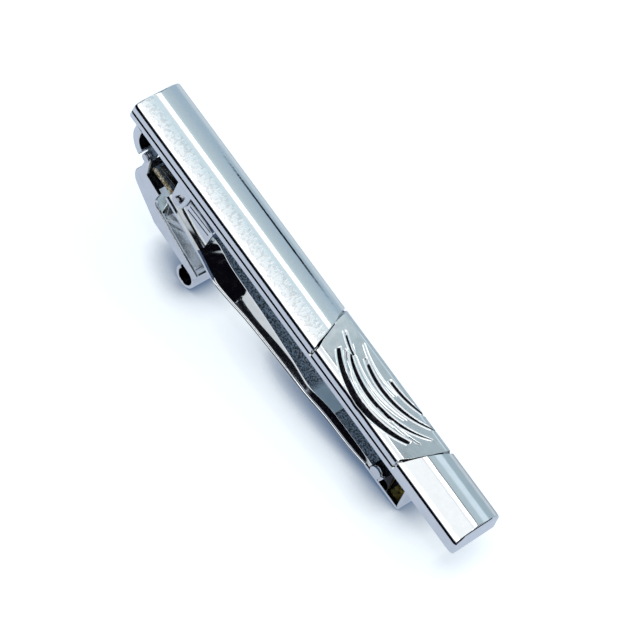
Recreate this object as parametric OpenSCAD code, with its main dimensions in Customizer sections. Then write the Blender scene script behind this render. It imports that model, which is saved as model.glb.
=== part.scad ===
// Tie clip: a domed bar with an engraved panel, gripped from behind by a sprung jaw.
// A thumb lever behind the hinge end opens the jaw: its tongue presses the jaw's tail towards the bar.
// Everything is drawn in the bar's own frame: X runs from the hinge end to the free end, Y across the bar
// and Z out of its front, with the bar's back at Z = 0, so depths behind the bar are negative in Z.
// lie_down() then sets the clip on a table as it rests by itself, on the lever's roll and the jaw's tip.

/* [Bar] */
// Length of the bar
bar_len = 60.5; // [56:0.5:70]
// Width of the bar
bar_w = 6.8; // [6:0.1:8.5]
// Height of the bar's side walls
bar_side_h = 2; // [1.6:0.1:2.6]
// Rise of the domed front above the side walls
dome_rise = 0.8; // [0.5:0.05:1.2]
// Bevel round the two ends of the front
end_bevel = 0.3; // [0.15:0.05:0.5]
// How far the free end slopes out from the front to the back
end_slope = 0.5; // [0:0.05:0.8]
// Bevel along the long edges of the front
edge_bevel = 0.16; // [0.1:0.02:0.3]
// Radius of the bar's corners seen from the front
corner_r = 0.4; // [0.3:0.1:1.2]
// Height of the fine step along the sides
step_h = 1; // [0.6:0.05:1.3]
// Width of the fine step along the sides
step_in = 0.12; // [0.05:0.01:0.25]

/* [Engraved panel] */
// Distance from the hinge end to the middle of the panel
panel_x = 41.6; // [38:0.2:44]
// Length of the panel on the centre line
panel_len = 17.4; // [14:0.2:18]
// How far each border groove slants from the centre line to the edge
border_slant = 1.2; // [0:0.1:2]
// How far the flat panel lies below the crest of the domed front
panel_drop = 0.35; // [0.2:0.05:0.45]
// Width of a border groove
border_w = 0.4; // [0.2:0.05:0.6]
// Depth of the border grooves
border_depth = 0.45; // [0.3:0.05:0.6]
// Depth of the engraved crescents
engrave_depth = 0.3; // [0.15:0.05:0.45]
// Number of engraved crescents
crescents = 4; // [2:1:4]
// Distance from one crescent to the next
crescent_pitch = 1.8; // [1.4:0.05:2.2]
// Radius of the outermost crescent, the others lie inside it about the same centre
crescent_r = 11.3; // [10:0.1:13]
// Width of the outermost crescent at its middle
crescent_w = 0.95; // [0.5:0.05:1.2]

/* [Hinge] */
// Thickness of the pressed sheet of bracket, jaw and lever
sheet_t = 0.4; // [0.3:0.05:0.5]
// Distance from the hinge end to the jaw's pin
jaw_pin_x = 10.4; // [10:0.1:11.5]
// Depth of the jaw's pin behind the bar
jaw_pin_depth = 3.7; // [3.5:0.1:4.3]
// Distance from the hinge end to the lever's pin
lever_pin_x = 4.4; // [4.3:0.05:4.8]
// Depth of the lever's pin behind the bar
lever_pin_depth = 3.4; // [3.2:0.1:3.9]
// Radius of both pins
pin_r = 0.35; // [0.25:0.05:0.4]
// Radius of the pin heads
pin_head_r = 0.55; // [0.5:0.05:0.7]
// Thickness of the pin heads
pin_head_t = 0.2; // [0.1:0.05:0.3]
// Running clearance round a pin
pin_clearance = 0.04; // [0.02:0.01:0.08]
// Clearance between sheets that pass each other
side_gap = 0.15; // [0.1:0.05:0.25]

/* [Spring] */
// Width of the leaf spring
spring_w = 2.8; // [2:0.1:3]
// Thickness of the leaf spring
spring_t = 0.25; // [0.15:0.05:0.3]

/* [Jaw] */
// Reach from the jaw's pin to its tip
jaw_reach = 42.2; // [38:0.2:44]
// Length of the tail behind the jaw's pin
tail_len = 5; // [4:0.1:5]
// Depth of the jaw's flat plate behind the middle of its pin
plate_drop = 1.05; // [1:0.05:1.3]
// Width over the jaw's lips at the hinge
jaw_w = 5.2; // [4.8:0.1:5.4]
// Width over the jaw's lips near the tip
jaw_tip_w = 3.9; // [3.4:0.1:4.6]
// How far the jaw bows away from the bar
jaw_bow = 1.55; // [1:0.05:2]
// Depth of the fold at its deepest
fold_depth = 2; // [1.7:0.05:2.15]
// Width of the flat lip along the jaw's edges
lip_w = 0.35; // [0.2:0.05:0.45]
// Length of the jaw's cheeks past its pin
cheek_len = 5.6; // [3:0.2:6.4]
// Height of the cheeks above the middle of the pin
cheek_rise = 1.2; // [0.9:0.05:1.4]
// Length of the toothed pan at the tip
pan_len = 6; // [5:0.1:7]
// Gap between the tip's end wall and the bar when the jaw is shut
tip_gap = 0.12; // [0.05:0.01:0.3]

/* [Lever] */
// Distance from the lever's pin to the middle of its roll
lever_reach = 12; // [11:0.1:13]
// Depth of the lever's web behind its pin at the roll
lever_drop = 7.5; // [7.3:0.1:8.4]
// Outer radius of the roll at the lever's end
roll_r = 1.5; // [1.1:0.1:1.7]
// Width of the tongue that presses on the jaw's tail
tongue_w = 2.4; // [1.6:0.1:2.6]
// Gap between the tongue and the tail when the jaw is shut
tongue_gap = 0.2; // [0.18:0.01:0.3]

/* [Hidden] */
$fn = 64;
// Overrun of every cut past the face that it opens
overrun = 0.5;

// Bar
bar_top = bar_side_h + dome_rise;
dome_r = bar_w * bar_w / (8 * dome_rise) + dome_rise / 2;
// Each crescent's reach to either side as a share of its radius, and its width as a share of the first one's
crescent_shares = [[0.57, 1], [0.66, 0.66], [0.7, 0.58], [0.68, 0.48]];
inner_r_share = 1.2;
// The short crescent: how many pitches inside the first one, its width share and its reach share
short_crescent = [0.66, 0.48, 0.36];
short_turn = -30;
// The hooked heel cast on the bar's back, a part of a ring
heel_x = 4.5;
heel_rise = 0.4;
heel_r = 2.95;
heel_t = 1.1;
heel_end_gap = 0.03;
// Studs cast on the back, riveted over the bracket
stud_r = 0.5;
stud_head_r = 0.8;
stud_head_t = 0.25;
stud_end_inset = 1;

// Hinge, from the middle outwards
jaw_ear_in = spring_w / 2 + side_gap;
jaw_ear_out = jaw_ear_in + sheet_t;
post_in = jaw_ear_out + side_gap;
post_out = post_in + sheet_t;
lever_ear_in = post_in + side_gap;
lever_ear_out = lever_ear_in + sheet_t;
hole_r = pin_r + pin_clearance;
head_gap = 0.05;
jaw_post_r = 1.05;
jaw_post_foot = 2.6;
lever_post_r = 0.65;
lever_post_foot = 1.4;
jaw_ear_r = 0.8;
base_end = jaw_pin_x + 2.4;

// Spring, looped over the jaw's pin
coil_in = pin_r + pin_clearance;
coil_out = coil_in + spring_t;
leg_gap = 0.05;
leg_end_inset = 0.4;
seam_angle = 3;

// Jaw
plate_depth = jaw_pin_depth + plate_drop;
tail_x = jaw_pin_x - tail_len;
tip_x = jaw_pin_x + jaw_reach;
pan_x = tip_x - pan_len;
lips_x = jaw_pin_x - jaw_post_foot / 2;
// Stations from where the lips begin to the pan: place along the arm as a share of its length, then the
// ridge's depth as a share of the bow, the fold as a share of the fold's depth, the ridge's half width and
// how far the lips have closed in from the hinge width to the tip width
arm_shares = [
    [0, 0, 0.15, 0.95, 0],
    [0.085, 0, 0.49, 0.6, 0],
    [0.2, 0.06, 0.93, 0.42, 0],
    [0.28, 0.52, 1, 0.42, 0],
    [0.435, 0.74, 0.71, 0.51, 0.46],
    [0.61, 0.94, 0.53, 0.65, 1],
    [0.705, 1, 0.32, 0.72, 1],
    [0.797, 0.55, 0.47, 0.72, 1],
    [0.915, 0.42, 0.33, 0.72, 1],
    [1, 0.3, 0.13875, 0.74, 1]
];
arm_steps = 34;
slope_steps = 6;
// The drawn arm is a little thinner than the flat sheet at its two ends
draw_in = 0.02;
draw_sink = 0.06;
arm_t = sheet_t - 2 * draw_in;
// The cheeks' upper edge: where it is level, and how far its end drops
cheek_level = [1, 3.8];
cheek_end_drop = 0.3;
cheek_steps = 5;
scallop_share = 0.14;
scallop_start_share = 1.5;
scallop_pitch_share = 1.8;
tooth_share = 0.8;
end_wall_lean = 0.8;
serrations = 3;
serration_h = 0.5;

// Lever, with depths behind its pin
heel_arc_r = 1.65;
heel_arc_at = [1.3, 3.45];
ear_top = [[0, 2], [3.8, 2.65]];
throat_r = 1.5;
flange_start = [5.1, 4.87];
web_knee = [[2.26, 5.75], [5.1, 7.05]];
neck_w = 0.6;
lever_eye_r = 0.6;
roll_gap_angle = 60;
flange_past_roll = 1.2;
flange_end_h = 0.45;
tongue_share = 0.683;
tongue_x = lever_pin_x + (jaw_pin_x - lever_pin_x) * tongue_share;
tongue_lean = 1.1;

// How the clip lies: its tilt puts the roll and the tip's corner on the table
roll_at = [lever_pin_x + lever_reach, lever_pin_depth + lever_drop - sheet_t + roll_r];
pan_depth = plate_depth + jaw_bow * station(1, 1) + fold_depth * station(1, 2) + sheet_t;
tip_corner = [tip_x, pan_depth];
lie_run = tip_corner - roll_at;
lie_angle = atan2(-lie_run[1], lie_run[0]) + asin(roll_r / norm(lie_run));
lie_height = roll_at[0] * sin(lie_angle) + roll_at[1] * cos(lie_angle) + roll_r;
lie_length = (bar_len - end_slope) * cos(lie_angle) + (bar_top - end_bevel) * sin(lie_angle);

module lie_down() {
    translate([-lie_length / 2, 0, lie_height]) rotate([0, lie_angle, 0]) children();
}

// Turns an outline in X and Z into a piece of the given width across the bar
module across(width) {
    rotate([90, 0, 0]) linear_extrude(height = width, center = true) children();
}

// Two sheets, one on each side of the bar's centre plane
module pair(inner, outer) {
    for (side = [-1, 1])
        translate([0, side * (inner + outer) / 2, 0]) across(outer - inner) children();
}

// Points along an arc, angles in degrees
function arc(centre, radius, from, to, steps = 10) = [
    for (i = [0:steps]) let (a = from + (to - from) * i / steps) centre + radius * [cos(a), sin(a)]
];

// A rounded rectangle without offset, so that its corners stay true arcs
module rounded_plate(length, width, radius) {
    translate([0, radius - width / 2]) square([length, width - 2 * radius]);
    translate([radius, -width / 2]) square([length - 2 * radius, width]);
    for (x = [radius, length - radius], y = [-1, 1])
        translate([x, y * (width / 2 - radius)]) circle(r = radius);
}

// The bar's cross-section, with its front lowered by drop
module bar_section(drop) {
    intersection() {
        translate([0, bar_top - dome_r - drop]) circle(r = dome_r);
        polygon([
            [-bar_w / 2, 0], [bar_w / 2, 0],
            [bar_w / 2, bar_side_h - edge_bevel], [bar_w / 2 - edge_bevel, bar_side_h + dome_rise],
            [-bar_w / 2 + edge_bevel, bar_side_h + dome_rise], [-bar_w / 2, bar_side_h - edge_bevel]
        ]);
    }
}

module along(length) {
    rotate([90, 0, 90]) linear_extrude(height = length) children();
}

module bar_body() {
    intersection() {
        along(bar_len) bar_section(0);
        linear_extrude(height = bar_top) rounded_plate(bar_len, bar_w, corner_r);
        across(bar_w) polygon([
            [0, 0], [bar_len, 0], [bar_len - end_slope, bar_top - end_bevel],
            [bar_len - end_slope - end_bevel, bar_top], [end_bevel, bar_top], [0, bar_top - end_bevel]
        ]);
    }
}

// One border groove: a ring of V section that follows the domed front
module border_groove(x, slant) {
    turn = atan2(slant, bar_w / 2);
    run = bar_w / cos(turn);
    ring_r = run * run / (8 * dome_rise) + dome_rise / 2;
    translate([x, 0, bar_top - ring_r]) rotate([90, 0, 90 + turn]) rotate_extrude()
        polygon([
            [ring_r - border_depth, 0], [ring_r + border_depth, border_w],
            [ring_r + border_depth, -border_w]
        ]);
}

// A crescent that narrows towards its ends, seen from the front
module crescent(radius, width, reach, turn = 0) {
    inner_r = radius * inner_r_share;
    translate([panel_x, crescent_r + edge_bevel - bar_w / 2]) rotate(turn) difference() {
        circle(r = radius, $fn = 180);
        translate([0, inner_r + width - radius]) circle(r = inner_r, $fn = 180);
        for (side = [-1, 1]) translate([side * (reach + radius), 0]) square(2 * radius, center = true);
    }
}

module crescents() {
    short_r = crescent_r - crescent_pitch * short_crescent[0];
    intersection() {
        difference() {
            linear_extrude(height = bar_top + overrun) {
                for (i = [0:crescents - 1]) {
                    radius = crescent_r - i * crescent_pitch;
                    crescent(radius, crescent_w * crescent_shares[i][1], radius * crescent_shares[i][0]);
                }
                crescent(short_r, crescent_w * short_crescent[1], short_r * short_crescent[2], short_turn);
            }
            intersection() {
                along(bar_len) bar_section(engrave_depth);
                translate([0, -bar_w / 2, 0]) cube([bar_len, bar_w, bar_top - panel_drop - engrave_depth]);
            }
        }
        linear_extrude(height = bar_top + overrun)
            translate([panel_x - panel_len / 2, edge_bevel - bar_w / 2])
                square([panel_len, bar_w - 2 * edge_bevel]);
    }
}

// The space above the flat panel, between the two slanted borders
module above_panel() {
    left = panel_x - panel_len / 2;
    right = panel_x + panel_len / 2;
    translate([0, 0, bar_top - panel_drop]) linear_extrude(height = panel_drop + overrun) polygon([
        [left + border_slant, -bar_w / 2], [right - border_slant, -bar_w / 2],
        [right + border_slant, bar_w / 2], [left - border_slant, bar_w / 2]
    ]);
}

// The fine step along each side, from the hinge end to the panel's far border
module side_steps() {
    for (side = [-1, 1])
        translate([-overrun, side * bar_w / 2 - step_in, step_h])
            cube([panel_x + panel_len / 2 + side * border_slant + overrun, 2 * step_in, bar_top]);
}

module heel_hook() {
    across(bar_w) intersection() {
        translate([heel_x, heel_rise]) difference() {
            circle(r = heel_r);
            circle(r = heel_r - heel_t);
        }
        polygon([
            [0, 0], [lever_pin_x - lever_post_r - heel_end_gap, 0],
            [lever_pin_x - lever_post_r - heel_end_gap, -heel_r], [0, -heel_r]
        ]);
    }
}

module studs() {
    for (x = stud_places()) translate([x, 0, -sheet_t - stud_head_t]) {
        cylinder(r = stud_r, h = sheet_t + stud_head_t);
        cylinder(r = stud_head_r, h = stud_head_t);
    }
}

function stud_places() = [
    lever_pin_x - lever_post_r + stud_head_r, base_end - stud_end_inset
];

module bar() {
    color([0.80, 0.81, 0.82]) lie_down() {
        difference() {
            bar_body();
            above_panel();
            border_groove(panel_x - panel_len / 2, border_slant);
            border_groove(panel_x + panel_len / 2, -border_slant);
            crescents();
            side_steps();
        }
        heel_hook();
        studs();
    }
}

// An ear: a foot on the bracket's base that narrows to a round end about a pin
module post(pin, radius, foot) {
    translate(pin) circle(r = radius);
    polygon([
        [pin[0] - foot / 2, 0], [pin[0] - radius, pin[1]], [pin[0] + radius, pin[1]], [pin[0] + foot / 2, 0]
    ]);
}

module hinge_bracket() {
    color([0.74, 0.75, 0.78]) lie_down() difference() {
        union() {
            translate([0, 0, -sheet_t]) linear_extrude(height = sheet_t) polygon([
                [lever_pin_x - lever_post_r, -post_in], [jaw_pin_x - jaw_post_foot / 2, -post_in],
                [jaw_pin_x - jaw_post_foot / 2, -post_out], [base_end, -post_out],
                [base_end, post_out], [jaw_pin_x - jaw_post_foot / 2, post_out],
                [jaw_pin_x - jaw_post_foot / 2, post_in], [lever_pin_x - lever_post_r, post_in]
            ]);
            pair(post_in, post_out) post([jaw_pin_x, -jaw_pin_depth], jaw_post_r, jaw_post_foot);
            pair(post_in - sheet_t, post_in)
                post([lever_pin_x, -lever_pin_depth], lever_post_r, lever_post_foot);
        }
        across(2 * post_out + overrun) {
            translate([jaw_pin_x, -jaw_pin_depth]) circle(r = hole_r);
            translate([lever_pin_x, -lever_pin_depth]) circle(r = hole_r);
        }
        for (x = stud_places()) translate([x, 0, -sheet_t - overrun])
            cylinder(r = stud_r + pin_clearance, h = sheet_t + 2 * overrun);
    }
}

// A pin with a head at each end, outside the sheets that reach out to half_w
module headed_pin(x, depth, half_w) {
    translate([x, 0, -depth]) rotate([90, 0, 0]) {
        cylinder(r = pin_r, h = 2 * (half_w + head_gap), center = true);
        for (side = [-1, 1]) translate([0, 0, side * (half_w + head_gap + pin_head_t / 2)])
            cylinder(r = pin_head_r, h = pin_head_t, center = true);
    }
}

module jaw_pin() {
    color([0.80, 0.81, 0.83]) lie_down() headed_pin(jaw_pin_x, jaw_pin_depth, post_out);
}

module lever_pin() {
    color([0.80, 0.81, 0.83]) lie_down() headed_pin(lever_pin_x, lever_pin_depth, lever_ear_out);
}

// One leg of the spring: it leaves the loop at the angle turn and runs straight to its end
module spring_leg(turn, length) {
    translate([jaw_pin_x, -jaw_pin_depth]) rotate(turn)
        translate([coil_in, turn > 0 ? 0 : -length]) square([spring_t, length]);
}

// Where a tangent from the loop to a leg's end touches the loop, as an angle about the pin
function leaving_angle(to, side) =
    let (run = to - [jaw_pin_x, -jaw_pin_depth])
        atan2(run[1], run[0]) + side * acos((coil_in + spring_t / 2) / norm(run));

// A hairpin leaf spring: one leg under the jaw's tail, the other on the bracket's base
module leaf_spring() {
    leg_x = tail_x + leg_end_inset;
    base_leg = [leg_x, -sheet_t - leg_gap - spring_t / 2];
    tail_leg = [leg_x, -plate_depth + leg_gap + spring_t / 2];
    base_turn = leaving_angle(base_leg, -1);
    tail_turn = leaving_angle(tail_leg, 1);
    color([0.78, 0.66, 0.42]) lie_down() across(spring_w) {
        translate([jaw_pin_x, -jaw_pin_depth]) intersection() {
            difference() {
                circle(r = coil_out);
                circle(r = coil_in);
            }
            polygon(concat(
                [[0, 0]], arc([0, 0], 2 * coil_out, tail_turn - seam_angle, base_turn + seam_angle, 12)
            ));
        }
        spring_leg(base_turn, norm(base_leg - [jaw_pin_x, -jaw_pin_depth]));
        spring_leg(tail_turn, norm(tail_leg - [jaw_pin_x, -jaw_pin_depth]));
    }
}

// A value between stations: column of arm_shares at the share s, eased so that the sheet has no creases
function station(s, column, i = 0) =
    i >= len(arm_shares) - 2 || s <= arm_shares[i + 1][0]
        ? hermite(i, column, (s - arm_shares[i][0]) / (arm_shares[i + 1][0] - arm_shares[i][0]))
        : station(s, column, i + 1);

function slope_at(i, column) =
    let (a = max(i - 1, 0), b = min(i + 1, len(arm_shares) - 1))
        (arm_shares[b][column] - arm_shares[a][column]) / (arm_shares[b][0] - arm_shares[a][0]);

function hermite(i, column, t) =
    let (
        run = arm_shares[i + 1][0] - arm_shares[i][0],
        a = arm_shares[i][column],
        b = arm_shares[i + 1][column]
    )
    a * (2 * t * t * t - 3 * t * t + 1) + b * (3 * t * t - 2 * t * t * t)
        + run * slope_at(i, column) * (t * t * t - 2 * t * t + t)
        + run * slope_at(i + 1, column) * (t * t * t - t * t);

function arm_x(s) = lips_x + s * (pan_x - lips_x);
function ridge_depth(s) = plate_depth + draw_in + jaw_bow * station(s, 1);
function fold(s) = fold_depth * station(s, 2);
function rim_half(s) = jaw_w / 2 + (jaw_tip_w - jaw_w) / 2 * station(s, 4);
function ridge_half(s) = jaw_tip_w / 2 * station(s, 3);

// Half a cross-section of the arm at share s, from the lip's edge to the ridge: [Y, depth, slope]
function half_section(s) =
    let (out = rim_half(s), in = out - lip_w, mid = ridge_half(s), d = ridge_depth(s), f = fold(s)) concat(
        [[out, d + f, 0]],
        [for (k = [0:slope_steps]) let (t = 1 - k / slope_steps)
            [mid + (in - mid) * t, d + f * t * t * (3 - 2 * t), f * 6 * t * (1 - t) / (in - mid)]]
    );

// A whole cross-section as a closed ring: along the face towards the bar, then back along the outer face
function ring(s) =
    let (
        half = half_section(s),
        n = len(half),
        face = concat(half, [for (k = [n - 1:-1:0]) [-half[k][0], half[k][1], half[k][2]]])
    ) concat(
        [for (q = face) [arm_x(s), q[0], -q[1]]],
        [for (k = [len(face) - 1:-1:0]) let (q = face[k])
            [arm_x(s), q[0], -q[1] - arm_t * sqrt(1 + q[2] * q[2])]]
    );

module arm_sheet() {
    rings = [for (i = [0:arm_steps]) ring(i / arm_steps)];
    n = len(rings[0]);
    sides = [
        for (i = [0:arm_steps - 1], k = [0:n - 1])
            let (a = i * n + k, b = i * n + (k + 1) % n) each [[a, b + n, b], [a, a + n, b + n]]
    ];
    last = arm_steps * n;
    caps = [
        for (k = [0:n / 2 - 2]) let (a = k, b = k + 1, c = n - 2 - k, d = n - 1 - k) each [
            [d, b, c], [d, a, b], [last + a, last + c, last + b], [last + a, last + d, last + c]
        ]
    ];
    polyhedron(points = [for (r = rings) each r], faces = concat(sides, caps));
}

// Depth of the arm's slope at the place x and the distance y from the centre plane
function slope_depth(x, y) =
    let (
        s = (x - lips_x) / (pan_x - lips_x), mid = ridge_half(s),
        t = min((y - mid) / (rim_half(s) - lip_w - mid), 1)
    )
    ridge_depth(s) + fold(s) * t * t * (3 - 2 * t);

// The flat tail and the two cheeks that turn on the jaw's pin and run down into the arm's slopes
module tail_and_cheeks() {
    foot = jaw_pin_x + jaw_ear_r;
    end = jaw_pin_x + cheek_len;
    top = cheek_rise - jaw_pin_depth;
    foot_z = draw_sink - plate_depth - sheet_t;
    translate([tail_x, 0, -plate_depth - sheet_t]) linear_extrude(height = sheet_t)
        translate([0, -jaw_ear_out]) square([lips_x - tail_x + overrun, 2 * jaw_ear_out]);
    pair(jaw_ear_in, jaw_ear_out) {
        translate([jaw_pin_x, -jaw_pin_depth]) circle(r = jaw_ear_r);
        polygon(concat(
            [
                [jaw_pin_x - jaw_ear_r, foot_z], [jaw_pin_x - jaw_ear_r, -jaw_pin_depth],
                [jaw_pin_x, jaw_ear_r - jaw_pin_depth], [jaw_pin_x + cheek_level[0], top],
                [jaw_pin_x + cheek_level[1], top], [end, top - cheek_end_drop]
            ],
            [for (i = [cheek_steps:-1:1]) let (x = foot + (end - foot) * i / cheek_steps)
                [x, -slope_depth(x, jaw_ear_out) - arm_t / 2]],
            [[foot, foot_z]]
        ));
    }
}

// The toothed pan: floor, scalloped sides and a serrated end wall that meets the bar's back
module pan() {
    wall_h = pan_depth - tip_gap;
    scallop_r = pan_len * scallop_share;
    scallop_x = pan_x + scallop_r * scallop_start_share;
    translate([pan_x - overrun, -jaw_tip_w / 2, -pan_depth])
        cube([pan_len + overrun - draw_in, jaw_tip_w, sheet_t]);
    pair(jaw_tip_w / 2 - sheet_t - draw_in, jaw_tip_w / 2 - draw_in) {
        for (i = [0, 1])
            translate([scallop_x + i * scallop_pitch_share * scallop_r, scallop_r + draw_in - pan_depth])
                circle(r = scallop_r);
        polygon([
            [scallop_x + scallop_r, draw_in - pan_depth],
            [scallop_x + 2 * scallop_r, wall_h * tooth_share - pan_depth],
            [scallop_x + 3 * scallop_r, draw_in - pan_depth]
        ]);
    }
    difference() {
        across(jaw_tip_w - 4 * draw_in) polygon([
            [tip_x - sheet_t, draw_in - pan_depth], [tip_x, draw_in - pan_depth],
            [tip_x - end_wall_lean, -tip_gap], [tip_x - end_wall_lean - sheet_t, -tip_gap]
        ]);
        for (i = [-1:2:1])
            translate([tip_x - 2 * end_wall_lean - sheet_t, i * jaw_tip_w / serrations / 2, 0])
                rotate([45, 0, 0]) translate([0, -serration_h / 2, -serration_h / 2])
                    cube([2 * end_wall_lean + 2 * sheet_t, serration_h, serration_h]);
    }
}

module jaw_arm() {
    color([0.82, 0.83, 0.84]) lie_down() difference() {
        union() {
            arm_sheet();
            tail_and_cheeks();
            pan();
        }
        across(2 * post_in) translate([jaw_pin_x, -jaw_pin_depth]) circle(r = hole_r);
    }
}

// The lever's side view, in the bar's frame: depths behind its pin become Z
function at_lever(p) = [lever_pin_x + p[0], -lever_pin_depth - p[1]];

heel_arc = arc(at_lever(heel_arc_at), heel_arc_r, 165, 245);
web_outer = concat(
    [at_lever(ear_top[0])], heel_arc, [at_lever(web_knee[0]), at_lever(web_knee[1])],
    [at_lever([lever_reach, lever_drop])]
);

// The same path set in by the sheet's thickness, moving each point square to the path
function set_in(path, d) = [
    for (i = [0:len(path) - 1])
        let (
            run = path[min(i + 1, len(path) - 1)] - path[max(i - 1, 0)],
            side = [-run[1], run[0]] / norm(run)
        )
        path[i] + d * side
];

module lever_flange() {
    flange_top = at_lever(flange_start);
    end_x = lever_pin_x + lever_reach + flange_past_roll;
    end_z = -lever_pin_depth - lever_drop + sheet_t + flange_end_h;
    polygon(concat(
        [at_lever(ear_top[1])],
        arc(flange_top + [0, throat_r], throat_r, 200, 270, 8),
        [[end_x, end_z], [end_x, end_z - flange_end_h - sheet_t]],
        [for (i = [len(web_outer) - 1:-1:0]) web_outer[i]]
    ));
    translate(at_lever([0, 0])) circle(r = lever_eye_r);
    polygon([
        at_lever([0, 0]), at_lever([neck_w, 0]), at_lever([2 * neck_w, ear_top[0][1] + sheet_t]),
        at_lever([0, ear_top[0][1] + sheet_t])
    ]);
}

module lever_roll() {
    translate([roll_at[0], -roll_at[1]]) difference() {
        circle(r = roll_r);
        circle(r = roll_r - sheet_t);
        polygon(concat([[0, 0]], arc([0, 0], 2 * roll_r, 90, 90 + roll_gap_angle, 4)));
    }
}

module thumb_lever() {
    tongue_z = -plate_depth - sheet_t - tongue_gap;
    web_z = -lever_pin_depth - web_knee[1][1];
    color([0.78, 0.79, 0.84]) lie_down() difference() {
        union() {
            pair(lever_ear_in, lever_ear_out) lever_flange();
            across(2 * lever_ear_out) {
                polygon(concat(web_outer, [
                    for (i = [len(web_outer) - 1:-1:0]) set_in(web_outer, sheet_t)[i]
                ]));
                lever_roll();
            }
            across(tongue_w) polygon([
                [tongue_x - sheet_t / 2, tongue_z], [tongue_x + sheet_t / 2, tongue_z],
                [tongue_x + tongue_lean + sheet_t / 2, web_z + sheet_t / 2],
                [tongue_x + tongue_lean - sheet_t / 2, web_z + sheet_t / 2]
            ]);
        }
        across(2 * lever_ear_out + overrun) translate(at_lever([0, 0])) circle(r = hole_r);
    }
}

bar();
hinge_bracket();
jaw_pin();
lever_pin();
leaf_spring();
jaw_arm();
thumb_lever();
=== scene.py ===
import math

import bmesh
import bpy
from mathutils import Matrix, Vector


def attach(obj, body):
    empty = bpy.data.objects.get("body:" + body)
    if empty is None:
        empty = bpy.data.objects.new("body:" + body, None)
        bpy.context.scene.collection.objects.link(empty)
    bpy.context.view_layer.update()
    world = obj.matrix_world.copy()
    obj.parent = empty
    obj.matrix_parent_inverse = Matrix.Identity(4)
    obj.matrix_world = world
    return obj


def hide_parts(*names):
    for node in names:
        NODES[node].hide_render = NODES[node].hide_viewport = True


bl_info = {
    "name": "Tie clip",
    "version": (1, 0, 0),
    "blender": (4, 5, 0),
    "location": "View3D > Sidebar > Tie clip",
    "description": "Dresses a tie clip: polished and satin front, engraved panel, folded jaw and thumb lever",
    "category": "Add Mesh",
}

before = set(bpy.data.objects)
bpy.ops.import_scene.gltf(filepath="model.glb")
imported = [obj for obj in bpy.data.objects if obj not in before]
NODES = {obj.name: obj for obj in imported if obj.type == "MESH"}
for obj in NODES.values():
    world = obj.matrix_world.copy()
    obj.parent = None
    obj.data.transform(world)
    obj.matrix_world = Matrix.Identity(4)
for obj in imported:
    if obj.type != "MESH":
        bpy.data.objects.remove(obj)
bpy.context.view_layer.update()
MM = 0.001

# Stations of the folded jaw: share of its length, share of the bow, share of the fold's depth, share of
# the tip's half width that the ridge takes, and how far the sides have closed in
STATIONS = [
    (0, 0, 0.15, 0.95, 0), (0.085, 0, 0.49, 0.6, 0), (0.2, 0.06, 0.93, 0.42, 0), (0.28, 0.52, 1, 0.42, 0),
    (0.435, 0.74, 0.64, 0.42, 0.46), (0.61, 0.94, 0.47, 0.56, 1), (0.705, 1, 0.32, 0.68, 1),
    (0.797, 0.55, 0.39, 0.65, 1), (0.915, 0.42, 0.34, 0.66, 1), (1, 0.3, 0.13875, 0.74, 1),
]

# The clip's own frame, in millimetres: X along the bar from its hinge end, Z out of its front, the bar's
# back at Z = 0. A depth is a distance behind that back. TO_ROW sets the clip on the table as the packed
# model lies, on the lever's roll and the jaw's tip.
BAR_LEN, BAR_W, SIDE_H, DOME_RISE = 60.0, 6.8, 2.0, 0.8
CREST = SIDE_H + DOME_RISE
DOME_R = BAR_W**2 / (8 * DOME_RISE) + DOME_RISE / 2
END_BEVEL, END_SLOPE = 0.3, 0.5
CORNER_R = 0.4
STEP_H, STEP_IN = 1.0, 0.12
PANEL_X, PANEL_LEN, BORDER_SLANT = 41.6, 17.4, 1.2
PANEL_START, PANEL_END = PANEL_X - PANEL_LEN / 2, PANEL_X + PANEL_LEN / 2
SHEET = 0.4
JAW_PIN, LEVER_PIN = (10.4, 3.7), (4.4, 3.4)
TAIL_LEG_X = JAW_PIN[0] - 0.5
BRACKET_X = LEVER_PIN[0] - 0.65
PLATE = JAW_PIN[1] + 1.05
TIP_X = JAW_PIN[0] + 42.2
ROLL_R = 1.5
ROLL = (LEVER_PIN[0] + 12.0, LEVER_PIN[1] + 7.5 - SHEET + ROLL_R)
JAW_BOW, FOLD = 1.55, 2.0
PAN_DEPTH = PLATE + JAW_BOW * STATIONS[-1][1] + FOLD * STATIONS[-1][2] + SHEET
RUN = (TIP_X - ROLL[0], PAN_DEPTH - ROLL[1])
LIE = math.atan2(-RUN[1], RUN[0]) + math.asin(ROLL_R / math.hypot(*RUN))
LIE_H = ROLL[0] * math.sin(LIE) + ROLL[1] * math.cos(LIE) + ROLL_R
LIE_LEN = BAR_LEN * math.cos(LIE) + (CREST - END_BEVEL) * math.sin(LIE)
TO_ROW = (
    Matrix.Scale(MM, 4)
    @ Matrix.Translation((-LIE_LEN / 2, 0, LIE_H))
    @ Matrix.Rotation(LIE, 4, "Y")
)


# Materials


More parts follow.
